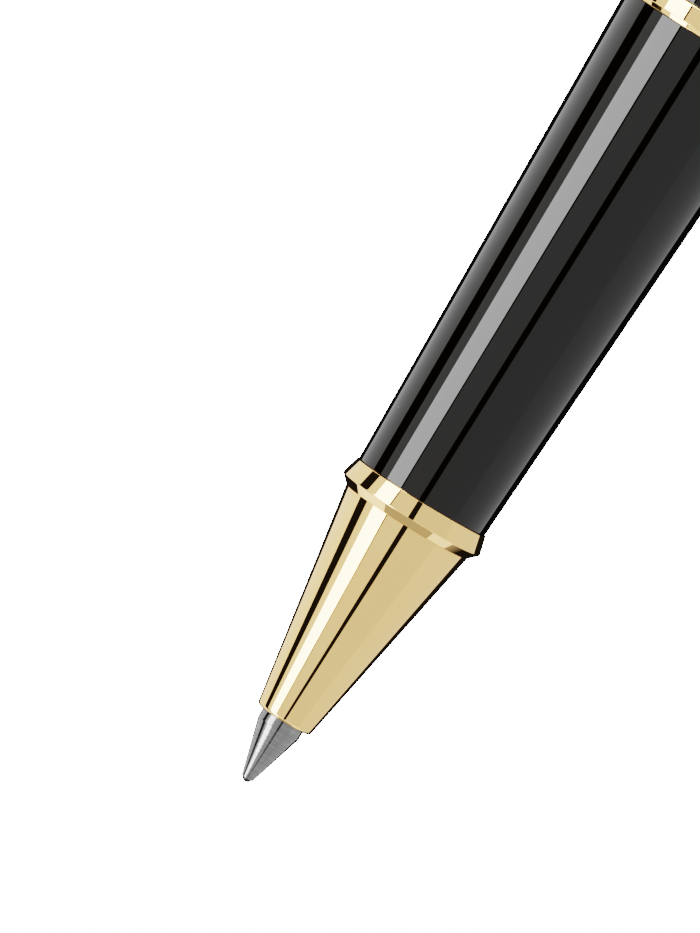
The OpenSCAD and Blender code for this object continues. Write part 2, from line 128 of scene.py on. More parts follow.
# Turns an outline on the pen's axis: one ring is extruded and resized from point to point.
# An outline that isn't closed ends at a pole on the axis, and a disc closes its first ring.
def turnPiece(name, outline, sides=160, closed=True, sharpAngle=32):
    deselectAll()
    path = list(outline) + ([outline[0]] if closed else [])
    bpy.ops.mesh.primitive_circle_add(vertices=sides, radius=path[0][0] * mm, fill_type="NOTHING",
                                      location=(0, 0, path[0][1] * mm))
    piece = bpy.context.active_object
    piece.name = piece.data.name = name
    applyPlace()
    bpy.ops.object.mode_set(mode="EDIT")
    bpy.ops.mesh.select_all(action="SELECT")
    if not closed:
        bpy.ops.mesh.edge_face_add()
        bpy.ops.mesh.poke()
        bpy.ops.mesh.select_all(action="DESELECT")
        bpy.ops.mesh.select_non_manifold()
    for (r, z), (nextR, nextZ) in zip(path, path[1:]):
        bpy.ops.mesh.extrude_edges_move(TRANSFORM_OT_translate={"value": (0, 0, (nextZ - z) * mm)})
        if nextR == 0:
            bpy.ops.mesh.merge(type="CENTER")
        elif nextR != r:
            bpy.ops.transform.resize(value=(nextR / r, nextR / r, 1), center_override=(0, 0, nextZ * mm))
    finishMesh(sharpAngle)
    return piece


def finishMesh(sharpAngle=32):
    bpy.ops.object.mode_set(mode="EDIT")
    bpy.ops.mesh.select_all(action="SELECT")
    bpy.ops.mesh.remove_doubles(threshold=1e-7)
    bpy.ops.mesh.normals_make_consistent(inside=False)
    bpy.ops.object.mode_set(mode="OBJECT")
    bpy.ops.object.shade_smooth_by_angle(angle=math.radians(sharpAngle))


# A box-shaped cut through the active piece
def cutBox(piece, low, high):
    deselectAll()
    middle = (Vector(low) + Vector(high)) / 2 * mm
    size = (Vector(high) - Vector(low)) * mm
    bpy.ops.mesh.primitive_cube_add(size=1, location=middle, scale=size)
    cutter = bpy.context.active_object
    applyPlace()
    deselectAll()
    bpy.context.view_layer.objects.active = piece
    piece.select_set(True)
    addModifier("BOOLEAN", object=cutter, operation="DIFFERENCE", solver="EXACT")
    bpy.data.objects.remove(cutter)


def place(piece, body, slot, material, *nodes):
    piece.data.materials.clear()
    piece.data.materials.append(material)
    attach(piece, body)
    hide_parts(*nodes)
    print("made", piece.name, "with", len(piece.data.polygons), "faces")


# Node helpers for the finishes

def addNode(tree, kind, sockets=None, **settings):
    node = tree.nodes.new("ShaderNode" + kind)
    for key, value in settings.items():
        setattr(node, key, value)
    for key, value in (sockets or {}).items():
        if isinstance(value, bpy.types.NodeSocket):
            tree.links.new(value, node.inputs[key])
        else:
            node.inputs[key].default_value = value
    return node


def newGroup(name, inputs, outputs):
    group = bpy.data.node_groups.new(name, "ShaderNodeTree")
    for label, value in inputs.items():
        socket = group.interface.new_socket(label, in_out="INPUT", socket_type="NodeSocketFloat")
        socket.default_value = value
    for label in outputs:
        group.interface.new_socket(label, in_out="OUTPUT", socket_type="NodeSocketFloat")
    return group, group.nodes.new("NodeGroupInput"), group.nodes.new("NodeGroupOutput")


def useGroup(tree, group, **values):
    node = tree.nodes.new("ShaderNodeGroup")
    node.node_tree = group
    for key, value in values.items():
        node.inputs[key].default_value = value
    return node


# Streaks of noise, long one way and fine the other: round the pen for turning, along it for handling
def buildStreaks():
    group, given, result = newGroup("streaks", {"Across": 400.0, "Along": 400.0, "Cut": 0.6},
                                    ["Height", "Mask"])
    where = addNode(group, "TexCoord").outputs["Object"]
    stretch = addNode(group, "CombineXYZ", {"X": given.outputs["Across"], "Y": given.outputs["Across"],
                                            "Z": given.outputs["Along"]})
    moved = addNode(group, "VectorMath", {0: where, 1: stretch.outputs[0]}, operation="MULTIPLY")
    noise = addNode(group, "TexNoise", {"Vector": moved.outputs[0], "Scale": 1.0, "Detail": 3.0,
                                        "Roughness": 0.6})
    top = addNode(group, "Math", {0: given.outputs["Cut"], 1: 0.1}, operation="ADD")
    mask = addNode(group, "MapRange", {"Value": noise.outputs[0], "From Min": given.outputs["Cut"],
                                       "From Max": top.outputs[0]})
    group.links.new(noise.outputs[0], result.inputs["Height"])
    group.links.new(mask.outputs[0], result.inputs["Mask"])
    return group


# Slow, cloudy variation of a handled surface
def buildHaze():
    group, given, result = newGroup("handledHaze", {"Scale": 180.0, "Low": 0.35, "High": 0.65}, ["Value"])
    where = addNode(group, "TexCoord").outputs["Object"]
    noise = addNode(group, "TexNoise", {"Vector": where, "Scale": given.outputs["Scale"], "Detail": 4.0,
                                        "Roughness": 0.55})
    level = addNode(group, "MapRange", {"Value": noise.outputs[0], "From Min": given.outputs["Low"],
                                        "From Max": given.outputs["High"]})
    group.links.new(level.outputs[0], result.inputs["Value"])
    return group


# Sparse specks of dust, a few hundredths of a millimetre across
def buildSpecks():
    group, given, result = newGroup("dustSpecks", {"Scale": 700.0, "Size": 0.05, "Share": 0.2}, ["Mask"])
    where = addNode(group, "TexCoord").outputs["Object"]
    cells = addNode(group, "TexVoronoi", {"Vector": where, "Scale": given.outputs["Scale"]})
    near = addNode(group, "Math", {0: cells.outputs["Distance"], 1: given.outputs["Size"]},
                   operation="LESS_THAN")
    pick = addNode(group, "SeparateColor", {0: cells.outputs["Color"]})
    rare = addNode(group, "Math", {0: pick.outputs[0], 1: given.outputs["Share"]}, operation="LESS_THAN")
    both = addNode(group, "Math", {0: near.outputs[0], 1: rare.outputs[0]}, operation="MULTIPLY")
    group.links.new(both.outputs[0], result.inputs["Mask"])
    return group


# Edges that handling has polished or rubbed
def buildEdgeRub():
    group, given, result = newGroup("edgeRub", {"From": 0.53, "To": 0.6}, ["Mask"])
    shape = addNode(group, "NewGeometry").outputs["Pointiness"]
    level = addNode(group, "MapRange", {"Value": shape, "From Min": given.outputs["From"],
                                        "From Max": given.outputs["To"]})
    group.links.new(level.outputs[0], result.inputs["Mask"])
    return group


streaks, haze, specks, edgeRub = buildStreaks(), buildHaze(), buildSpecks(), buildEdgeRub()


def newMaterial(name, **sockets):
    material = bpy.data.materials.new(name)
    material.use_nodes = True
    tree = material.node_tree
    shader = tree.nodes["Principled BSDF"]
    for key, value in sockets.items():
        shader.inputs[key.replace("_", " ")].default_value = value
    return material, tree, shader


def mixColours(tree, factor, first, second):
    return addNode(tree, "Mix", {"Factor": factor, 6: (*first, 1), 7: (*second, 1)},
                   data_type="RGBA").outputs[2]


def spread(tree, value, low, high):
    return addNode(tree, "MapRange", {"Value": value, "To Min": low, "To Max": high}).outputs[0]


def addBump(tree, shader, height, distance, strength=1.0):
    bump = addNode(tree, "Bump", {"Height": height, "Distance": distance, "Strength": strength})
    tree.links.new(bump.outputs[0], shader.inputs["Normal"])


handlingScratches = {"Across": 9000.0, "Along": 260.0, "Cut": 0.68}
hairlineMarks = {"Across": 7000.0, "Along": 200.0, "Cut": 0.7}
lineCut, grainCut, grainRoughness, rubShare = 0.45, 0.55, 0.08, 0.3


# Bright plated or machined metal: cloudy tone, turning lines round it, fine handling scratches along it
def metalFinish(name, look):
    material, tree, shader = newMaterial(name, Metallic=1.0)
    cloud = useGroup(tree, haze, Scale=look["cloudScale"])
    lines = useGroup(tree, streaks, Across=look["lineAcross"], Along=look["lineAlong"], Cut=lineCut)
    tone = addNode(tree, "Math", {0: lines.outputs["Mask"], 1: look["lineTone"], 2: cloud.outputs[0]},
                   operation="MULTIPLY_ADD", use_clamp=True).outputs[0]
    tree.links.new(mixColours(tree, tone, look["colour"], look["deepColour"]), shader.inputs["Base Color"])
    scratches = useGroup(tree, streaks, **handlingScratches)
    rub = useGroup(tree, edgeRub)
    rough = spread(tree, cloud.outputs[0], look["roughness"][0], look["roughness"][1])
    marked = addNode(tree, "Math", {0: scratches.outputs["Mask"], 1: look["scratchRoughness"], 2: rough},
                     operation="MULTIPLY_ADD").outputs[0]
    polished = addNode(tree, "Math", {0: rub.outputs[0], 1: -rubShare * look["roughness"][0], 2: marked},
                       operation="MULTIPLY_ADD").outputs[0]
    tree.links.new(polished, shader.inputs["Roughness"])
    addBump(tree, shader, lines.outputs["Height"], look["lineDepth"])
    return material


goldPlate = {
    "colour": (0.905, 0.585, 0.25), "deepColour": (0.885, 0.56, 0.232), "cloudScale": 160.0,
    "roughness": (0.015, 0.035), "scratchRoughness": 0.05,
    "lineAcross": 120.0, "lineAlong": 16000.0, "lineDepth": 8e-8, "lineTone": 0.1,
}
pointSteel = {
    "colour": (0.27, 0.27, 0.27), "deepColour": (0.2, 0.2, 0.2), "cloudScale": 1500.0,
    "roughness": (0.11, 0.16), "scratchRoughness": 0.12,
    "lineAcross": 150.0, "lineAlong": 11000.0, "lineDepth": 3e-6, "lineTone": 0.8,
}
ballCarbide = dict(pointSteel, colour=(0.07, 0.07, 0.072), deepColour=(0.04, 0.04, 0.042),
                   roughness=(0.12, 0.2),
                   lineDepth=1e-7)
coreBrass = {
    "colour": (0.84, 0.60, 0.28), "deepColour": (0.70, 0.47, 0.20), "cloudScale": 240.0,
    "roughness": (0.22, 0.36), "scratchRoughness": 0.15,
    "lineAcross": 90.0, "lineAlong": 9000.0, "lineDepth": 1.5e-6, "lineTone": 0.5,
}
springSteel = {
    "colour": (0.62, 0.62, 0.61), "deepColour": (0.50, 0.50, 0.49), "cloudScale": 500.0,
    "roughness": (0.2, 0.32), "scratchRoughness": 0.12,
    "lineAcross": 3000.0, "lineAlong": 3000.0, "lineDepth": 4e-7, "lineTone": 0.3,
}


# Polished black resin: deep gloss, a faint cloudiness and hairline marks from handling
def resinFinish(name, look):
    material, tree, shader = newMaterial(name, IOR=look["ior"])
    cloud = useGroup(tree, haze, Scale=look["cloudScale"])
    dust = useGroup(tree, specks, Scale=look["dustScale"], Size=look["dustSize"], Share=look["dustShare"])
    tone = mixColours(tree, cloud.outputs[0], look["colour"], look["deepColour"])
    dusty = addNode(tree, "Mix", {"Factor": dust.outputs[0], 6: tone, 7: look["dustColour"]},
                    data_type="RGBA")
    tree.links.new(dusty.outputs[2], shader.inputs["Base Color"])
    hairlines = useGroup(tree, streaks, **hairlineMarks)
    rough = spread(tree, cloud.outputs[0], look["roughness"][0], look["roughness"][1])
    marked = addNode(tree, "Math", {0: hairlines.outputs["Mask"], 1: look["markRoughness"], 2: rough},
                     operation="MULTIPLY_ADD").outputs[0]
    tree.links.new(marked, shader.inputs["Roughness"])
    addBump(tree, shader, hairlines.outputs["Height"], look["markDepth"])
    return material


blackResin = {
    "colour": (0.001, 0.0006, 0.0001), "deepColour": (0.0006, 0.0003, 0.0), "ior": 1.5, "cloudScale": 140.0,
    "roughness": (0.012, 0.025), "markRoughness": 0.04, "markDepth": 1e-8,
    "dustScale": 520.0, "dustSize": 0.035, "dustShare": 0.12, "dustColour": (0.03, 0.028, 0.025, 1),
}


# Moulded plastic or rubber of the inner parts: fine grain from the mould and a soft sheen
def mouldedFinish(name, look):
    material, tree, shader = newMaterial(name, IOR=look["ior"])
    cloud = useGroup(tree, haze, Scale=look["cloudScale"])
    tree.links.new(mixColours(tree, cloud.outputs[0], look["colour"], look["deepColour"]),
                   shader.inputs["Base Color"])
    grain = useGroup(tree, streaks, Across=look["grain"], Along=look["grain"] * look["grainStretch"],
                     Cut=grainCut)
    rough = addNode(tree, "Math", {0: grain.outputs["Mask"], 1: grainRoughness, 2: look["roughness"]},
                    operation="MULTIPLY_ADD")
    tree.links.new(rough.outputs[0], shader.inputs["Roughness"])
    addBump(tree, shader, grain.outputs["Height"], look["grainDepth"])
    return material


mouldedLooks = {
    "holder_plastic": {"colour": (0.032, 0.032, 0.034), "deepColour": (0.02, 0.02, 0.022), "ior": 1.49,
                       "cloudScale": 200.0, "roughness": 0.32, "grain": 4000.0, "grainStretch": 1.0,
                       "grainDepth": 3e-6},
    "tube_plastic": {"colour": (0.014, 0.014, 0.016), "deepColour": (0.009, 0.009, 0.011), "ior": 1.49,
                     "cloudScale": 150.0, "roughness": 0.26, "grain": 2500.0, "grainStretch": 0.1,
                     "grainDepth": 2e-6},
    "inner_plastic": {"colour": (0.05, 0.05, 0.052), "deepColour": (0.035, 0.035, 0.037), "ior": 1.49,
                      "cloudScale": 180.0, "roughness": 0.38, "grain": 5000.0, "grainStretch": 1.0,
                      "grainDepth": 4e-6},
    "seal_rubber": {"colour": (0.014, 0.014, 0.014), "deepColour": (0.008, 0.008, 0.008), "ior": 1.52,
                    "cloudScale": 400.0, "roughness": 0.6, "grain": 7000.0, "grainStretch": 1.0,
                    "grainDepth": 8e-6},
    "ink_fibre": {"colour": (0.02, 0.03, 0.14), "deepColour": (0.008, 0.012, 0.06), "ior": 1.45,
                  "cloudScale": 600.0, "roughness": 0.75, "grain": 12000.0, "grainStretch": 0.04,
                  "grainDepth": 2e-5},
}

finishes = {
    "gold_plate": metalFinish("goldPlate", goldPlate),
    "point_steel": metalFinish("pointSteel", pointSteel),
    "ball_carbide": metalFinish("ballCarbide", ballCarbide),
    "core_brass": metalFinish("coreBrass", coreBrass),
    "spring_steel": metalFinish("springSteel", springSteel),
    "black_resin": resinFinish("blackResin", blackResin),
}
for slotName, look in mouldedLooks.items():
    finishes[slotName] = mouldedFinish(slotName.title().replace("_", ""), look)
print("finishes ready:", len(finishes))


# Steel point: crimped lip round the ball, turned cone, shank and the tail inside the holder

steelPoint = {
    "lipRadius": 0.36, "lipRound": 0.09, "socketRadius": 0.31, "socketDepth": 0.45, "socketTaper": 0.17,
    "inkHole": 0.15, "wickHole": 0.36, "wickStart": 1.6, "coneLength": 3.54, "coneEdge": 0.12,
    "shankEnd": 8.0,
    "tailRadius": 0.9,
}


def makeSteelPoint(look=steelPoint):
    low, high, shank = lowOf("refill_point"), highOf("refill_point"), radiusOf("refill_point")
    corners = [
        (look["lipRadius"], low, look["lipRound"]),
        (shank, look["coneLength"], look["coneEdge"]),
        (shank, look["shankEnd"], 0),
        (look["tailRadius"], look["shankEnd"], 0),
        (look["tailRadius"], high, 0),
        (look["wickHole"], high, 0),
        (look["wickHole"], look["wickStart"], 0),
        (look["inkHole"], look["wickStart"], 0),
        (look["inkHole"], look["socketDepth"] + look["socketTaper"], 0),
        (look["socketRadius"], look["socketDepth"], 0),
        (look["socketRadius"], low, 0),
    ]
    piece = turnPiece("steelPoint", rounded(corners, arcStep=7), sides=128)
    place(piece, "refill", "point_steel", finishes["point_steel"], "refill_point")


makeSteelPoint()


# Nose cone: rounded mouth, straight cone, and a stepped tenon under the collar

noseCone = {
    "mouthRadius": 1.725, "mouthBore": 1.4, "lipRound": 0.28, "boreRound": 0.04,
    "boreEnd": 7.8, "roomStart": 10.9, "roomRadius": 2.2, "stepRadius": 3.59, "stepEnd": 18.6,
    "tenonRadius": 3.19,
    "backEdge": 0.02,
}


def makeNoseCone(look=noseCone):
    mouth, top, end = lowOf("nose_cone"), lowOf("collar_ring"), highOf("nose_cone")
    corners = [
        (look["mouthRadius"], mouth, look["lipRound"]),
        (radiusOf("nose_cone"), top, look["backEdge"]),
        (look["stepRadius"], top, 0),
        (look["stepRadius"], look["stepEnd"], 0),
        (look["tenonRadius"], look["stepEnd"], 0),
        (look["tenonRadius"], end, 0),
        (look["roomRadius"], end, 0),
        (look["roomRadius"], look["roomStart"], 0),
        (look["mouthBore"], look["boreEnd"], 0),
        (look["mouthBore"], mouth, look["boreRound"]),
    ]
    piece = turnPiece("noseCone", rounded(corners, arcStep=6), sides=192)
    place(piece, "section", "gold_plate", finishes["gold_plate"], "nose_cone")


makeNoseCone()


# Flared collar: chamfer underneath, a rounded widest edge and a band that narrows upwards

flaredCollar = {
    "bore": 3.6, "chamfer": 0.53, "lowRound": 0.03, "edgeRound": 0.09, "edgeProud": 0.012, "flare": 15,
    "topRound": 0.04,
}


def makeFlaredCollar(look=flaredCollar):
    low, high = lowOf("collar_ring"), highOf("collar_ring")
    wide = radiusOf("collar_ring") + look["edgeProud"]
    top = wide - (high - low - look["chamfer"]) * math.tan(math.radians(look["flare"]))
    corners = [
        (look["bore"], low, 0),
        (wide - look["chamfer"], low, look["lowRound"]),
        (wide, low + look["chamfer"], look["edgeRound"]),
        (top, high, look["topRound"]),
        (look["bore"], high, 0),
    ]
    piece = turnPiece("flaredCollar", rounded(corners, arcStep=6), sides=192)
    place(piece, "section", "gold_plate", finishes["gold_plate"], "collar_ring")


makeFlaredCollar()


# Grip: a straight taper of black resin, round a brass core

gripSleeve = {"bore": 3.61, "frontRadius": 4.157, "edgeRound": 0.05}


def makeGripSleeve(look=gripSleeve):
    low, high = lowOf("grip_sleeve"), highOf("grip_sleeve")
    corners = [
        (look["bore"], low, 0),
        (look["frontRadius"], low, look["edgeRound"]),
        (radiusOf("grip_sleeve"), high, look["edgeRound"]),
        (look["bore"], high, 0),
    ]
    piece = turnPiece("gripSleeve", rounded(corners), sides=192)
    place(piece, "section", "black_resin", finishes["black_resin"], "grip_sleeve")


makeGripSleeve()


# Trim ring: a fine sloping facet in front of a wide polished band

trimRing = {"bore": 4.0, "facetHeight": 0.25, "facetDrop": 0.14, "step": 0.03,
            "edgeRound": 0.03, "bandRound": 0.1}


def makeTrimRing(look=trimRing):
    low, high, wide = lowOf("trim_ring"), highOf("trim_ring"), radiusOf("trim_ring")
    facetTop = low + look["facetHeight"]
    corners = [
        (look["bore"], low, 0),
        (wide - look["facetDrop"], low, look["edgeRound"]),
        (wide - look["step"], facetTop, look["edgeRound"]),
        (wide, facetTop + look["step"], look["edgeRound"]),
        (wide, high, look["bandRound"]),
        (look["bore"], high, 0),
    ]
    piece = turnPiece("trimRing", rounded(corners, arcStep=6), sides=192)
    place(piece, "seam", "gold_plate", finishes["gold_plate"], "trim_ring")


makeTrimRing()


# Barrel: one shallow arc, widest a little behind the seam

barrelTube = {
    "tailRadius": 4.4, "swellFromSeam": 10.0, "frontEdge": 0.08, "frontLength": 1.0, "insertBore": 4.56,
    "insertDepth": 7.9, "bore": 3.3, "rings": 60,
}


def barrelRadius(height, look=barrelTube):
    low, high, widest = lowOf("barrel_tube"), highOf("barrel_tube"), radiusOf("barrel_tube")
    swell = low + look["swellFromSeam"]
    share = (height - swell) / (high - swell)
    return widest - (widest - look["tailRadius"]) * share * share


def makeBarrelTube(look=barrelTube):
    low, high = lowOf("barrel_tube"), highOf("barrel_tube")
    front = low + look["frontLength"]
    outline = rounded([
        (look["insertBore"], low, 0),
        (barrelRadius(low), low, look["frontEdge"]),
        (barrelRadius(front), front, 0),
    ], closed=False)
    heights = [front + (high - front) * i / look["rings"] for i in range(1, look["rings"] + 1)]
    back = [(look["bore"], high), (look["bore"], low + look["insertDepth"]),
            (look["insertBore"], low + look["insertDepth"])]
    piece = turnPiece("barrelTube", outline + [(barrelRadius(z), z) for z in heights] + back, sides=192)
    place(piece, "barrel", "black_resin", finishes["black_resin"], "barrel_tube")


makeBarrelTube()


# Tail: a thin gold ring and a domed plug with a tenon

tailEnd = {"tenonRadius": 3.29, "fullness": 0.85, "rings": 28, "ringBore": 3.3, "ringRound": 0.14}


# Quarter of a superellipse from the rim of a dome to its pole
def domeOutline(base, low, high, fullness, rings):
    points = []
    for i in range(rings):
        turn = math.pi / 2 * i / rings
        points.append((base * math.cos(turn) ** fullness, low + (high - low) * math.sin(turn) ** fullness))
    return points + [(0, high)]


def makeTail(look=tailEnd):
    low, rim, wide = lowOf("tail_ring"), highOf("tail_ring"), radiusOf("tail_ring")
    corners = [(look["ringBore"], low, 0), (wide, low, look["ringRound"]), (wide, rim, look["ringRound"]),
               (look["ringBore"], rim, 0)]
    ring = turnPiece("tailRing", rounded(corners, arcStep=8))
    place(ring, "barrel", "gold_plate", finishes["gold_plate"], "tail_ring")
    outline = [(look["tenonRadius"], lowOf("tail_plug")), (look["tenonRadius"], rim)]
    outline += domeOutline(radiusOf("tail_plug"), rim, highOf("tail_plug"), look["fullness"], look["rings"])
    plug = turnPiece("tailPlug", outline, closed=False)
    place(plug, "barrel", "black_resin", finishes["black_resin"], "tail_plug")


makeTail()


# Cap: resin tube with a gold band round its lip and a thin one above it

capShape = {
    "lipRadius": 6.17, "swell": 0.05, "topRadius": 5.7, "bandSeat": 5.82, "bore": 5.42, "endWall": 1.2,
    "screwHole": 1.51, "grooveRadius": 5.588, "grooveRoom": 0.05, "rings": 60, "bandRound": 0.16,
    "thinRound": 0.2,
    "wrapRound": 0.04, "gap": 0.01,
}


def capRadius(height, look=capShape):
    low, high = lowOf("lip_band"), highOf("cap_tube")
    share = (height - low) / (high - low)
    return (look["lipRadius"] + look["swell"] * math.sin(math.pi * share)
            - (look["lipRadius"] - look["topRadius"]) * share ** 3)


def makeCapTube(look=capShape):
    low, high = lowOf("cap_tube"), highOf("cap_tube")
    gap = look["gap"]
    wideTop, thinLow, thinTop = highOf("lip_band"), lowOf("thin_band") - gap, highOf("thin_band") + gap
    grooveLow = lowOf("clutch_ring") - look["grooveRoom"]
    grooveTop = highOf("clutch_ring") + look["grooveRoom"]
    outline = [(look["bore"], low), (look["bandSeat"], low), (look["bandSeat"], wideTop)]
    outline += [(capRadius(z), z) for z in (wideTop, (wideTop + thinLow) / 2, thinLow)]
    outline += [(look["bandSeat"], thinLow), (look["bandSeat"], thinTop)]
    outline += [(capRadius(z), z) for z in (thinTop + (high - thinTop) * i / look["rings"]
                                            for i in range(look["rings"] + 1))]
    outline += [(look["screwHole"], high), (look["screwHole"], high - look["endWall"]),
                (look["bore"], high - look["endWall"]), (look["bore"], grooveTop),
                (look["grooveRadius"], grooveTop), (look["grooveRadius"], grooveLow),
                (look["bore"], grooveLow)]
    piece = turnPiece("capTube", outline, sides=192)
    place(piece, "cap", "black_resin", finishes["black_resin"], "cap_tube")


def makeCapBands(look=capShape):
    low, high, wide = lowOf("lip_band"), highOf("lip_band"), radiusOf("lip_band")
    wrap, seat = lowOf("cap_tube") - look["gap"], look["bandSeat"] + look["gap"]
    corners = [(look["bore"], wrap, 0), (look["bore"], low, look["wrapRound"]),
               (wide, low, look["bandRound"]),
               (wide, high, look["bandRound"]), (seat, high, 0), (seat, wrap, 0)]
    band = turnPiece("lipBand", rounded(corners, arcStep=7), sides=192)
    place(band, "cap", "gold_plate", finishes["gold_plate"], "lip_band")
    low, high, wide = lowOf("thin_band"), highOf("thin_band"), radiusOf("thin_band")
    corners = [(seat, low, 0), (wide, low, look["thinRound"]), (wide, high, look["thinRound"]),
               (seat, high, 0)]
    thin = turnPiece("thinBand", rounded(corners, arcStep=7), sides=192)
    place(thin, "cap", "gold_plate", finishes["gold_plate"], "thin_band")


makeCapTube()
makeCapBands()


# Top of the cap: gold clip ring slotted for the clip, and a domed resin crown

capTop = {"bossRadius": 2.69, "ringRound": 0.25, "crownFullness": 0.8, "crownRings": 32, "screwEnd": 150.6,
          "lugGap": 0.08, "lugReach": 4.47}


def makeClipRing(look=capTop):
    low, high, wide = lowOf("clip_ring"), highOf("clip_ring"), radiusOf("clip_ring")
    bore = look["bossRadius"] + capShape["gap"]
    corners = [(bore, low, 0), (wide, low, look["ringRound"]), (wide, high, look["ringRound"]),
               (bore, high, 0)]
    piece = turnPiece("clipRing", rounded(corners, arcStep=7), sides=192)
    half = radiusOf("clip") + look["lugGap"]
    lugTop = highOf("clip")
    outside = -wide - 1
    cutBox(piece, (-half, outside, lugTop - clipShape["thickness"] - look["lugGap"]),
           (half, -look["lugReach"], lugTop + look["lugGap"]))
    finishMesh()
    place(piece, "cap", "gold_plate", finishes["gold_plate"], "clip_ring")


def makeCrown(look=capTop):
    low, rim = lowOf("cap_crown"), highOf("clip_ring")
    hole = capShape["screwHole"]
    outline = [(hole, look["screwEnd"]), (hole, low), (look["bossRadius"], low), (look["bossRadius"], rim)]
    outline += domeOutline(radiusOf("cap_crown"), rim, highOf("cap_crown"), look["crownFullness"],
                           look["crownRings"])
    piece = turnPiece("capCrown", outline, sides=192, closed=False)
    place(piece, "cap", "black_resin", finishes["black_resin"], "cap_crown")


# Clip: a crowned blade bent over from its lug in the ring, waisted above a rounded foot

clipShape = {
    "thickness": 0.85, "bendRadius": 1.205, "bladeOut": 7.575, "footMiddle": 7.498, "footHeight": 108.8,
    "rootWidth": 3.8, "bevel": 0.16, "bendSteps": 8, "settle": 0.07,
    "bladeWidths": ((144.6, 3.78), (138, 3.5), (130, 3.12), (122, 2.75), (116, 2.45), (113.2, 2.3)),
}


def makeClip(look=clipShape):
    top, lugStart = highOf("clip"), -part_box("clip")[1].y / mm
    t, bend, out = look["thickness"], look["bendRadius"], look["bladeOut"]
    lugMiddle = top - t / 2
    # each station: distance from the axis, height, lean of the section (degrees), width, thickness
    stations = [(lugStart, lugMiddle, 0, look["rootWidth"], t),
                (out - bend, lugMiddle, 0, look["rootWidth"], t)]
    for step in range(1, look["bendSteps"] + 1):
        lean = 90 * step / look["bendSteps"]
        turn = math.radians(lean)
        stations.append((out - bend + bend * math.sin(turn), lugMiddle - bend + bend * math.cos(turn), lean,
                         look["rootWidth"], t))
    foot = look["footHeight"]
    for height, width in look["bladeWidths"]:
        share = (lugMiddle - height) / (lugMiddle - foot)
        stations.append((out + look["settle"] * share, height, 90, width, t))
    # the foot swells out of the blade and closes in a rounded end
    middle = look["footMiddle"]
    stations += [(out + 0.07, foot + 2.8, 90, 2.5, t + 0.08), (out + 0.03, foot + 1.8, 90, 3.0, 1.5),
                 (middle, foot + 1.0, 90, 3.4, 2.1), (middle, foot, 90, 3.5, 2.4),
                 (middle, foot - 0.7, 90, 2.9, 1.95), (middle, foot - 1.1, 90, 1.7, 1.0)]
    deselectAll()
    bpy.ops.mesh.primitive_plane_add(size=1, rotation=(math.radians(90), 0, 0))
    piece = bpy.context.active_object
    piece.name = piece.data.name = "clipBlade"
    piece.scale = (look["rootWidth"] * mm, t * mm, 1)
    piece.location = (0, -lugStart * mm, lugMiddle * mm)
    applyPlace()
    bpy.ops.object.mode_set(mode="EDIT")
    bpy.ops.mesh.select_all(action="SELECT")
    bpy.ops.mesh.subdivide(number_cuts=1)
    for before, after in zip(stations, stations[1:]):
        move = (0, (before[0] - after[0]) * mm, (after[1] - before[1]) * mm)
        bpy.ops.mesh.extrude_region_move(TRANSFORM_OT_translate={"value": move})
        middle = (0, -after[0] * mm, after[1] * mm)
        if after[2] != before[2]:
            bpy.ops.transform.rotate(value=-math.radians(after[2] - before[2]), orient_axis="X",
                                     center_override=middle)
        wide, thick = after[3] / before[3], after[4] / before[4]
        lean = math.radians(after[2])
        upright = abs(math.cos(lean)) > 0.5
        if (wide, thick) != (1, 1):
            bpy.ops.transform.resize(value=(wide, 1 if upright else thick, thick if upright else 1),
                                     center_override=middle)
    bpy.ops.mesh.select_all(action="DESELECT")
    bpy.ops.mesh.select_non_manifold()
    bpy.ops.mesh.edge_face_add()
    bpy.ops.mesh.select_all(action="SELECT")
    bpy.ops.mesh.normals_make_consistent(inside=False)
    bpy.ops.object.mode_set(mode="OBJECT")
    addModifier("BEVEL", width=look["bevel"] * mm, segments=3, limit_method="ANGLE",
                angle_limit=math.radians(50),
                profile=0.6)
    addModifier("SUBSURF", levels=2, render_levels=2)
    finishMesh(40)
    place(piece, "clip", "gold_plate", finishes["gold_plate"], "clip")


makeClipRing()
makeCrown()
makeClip()


# Refill spring: a copy of the frame's shape


def makeRefillSpring():
    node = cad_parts["refill_spring"]
    mesh = bpy.data.meshes.new_from_object(node)
    mesh.transform(node.matrix_world)
    mesh.name = "refillSpring"
    piece = bpy.data.objects.new("refillSpring", mesh)
    bpy.context.scene.collection.objects.link(piece)
    place(piece, "barrel", "spring_steel", finishes["spring_steel"], "refill_spring")
    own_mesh(piece)


makeRefillSpring()


# Inner parts keep their frame shapes and take their own finishes

slotOfNode = {
    "writing_ball": "ball_carbide", "point_holder": "holder_plastic", "refill_tube": "tube_plastic",
    "ink_reservoir": "ink_fibre", "feed_wick": "ink_fibre", "refill_plug": "holder_plastic",
    "grip_core": "core_brass", "neck_seal": "seal_rubber", "thread_insert": "core_brass",
    "spring_seat": "inner_plastic", "clutch_ring": "spring_steel",
    "inner_cap": "inner_plastic", "crown_screw": "core_brass", "screw_washer": "spring_steel",
}
for nodeName, slotName in slotOfNode.items():
    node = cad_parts[nodeName]
    for holder in node.material_slots:
        holder.material = finishes[slotName]
print("inner parts finished:", len(slotOfNode))


# Studio: plain tall soft boxes round the pen, each of one brightness, with dark gaps between them.
# Turns are degrees round the pen: 0 is towards the camera, plus is to its right.

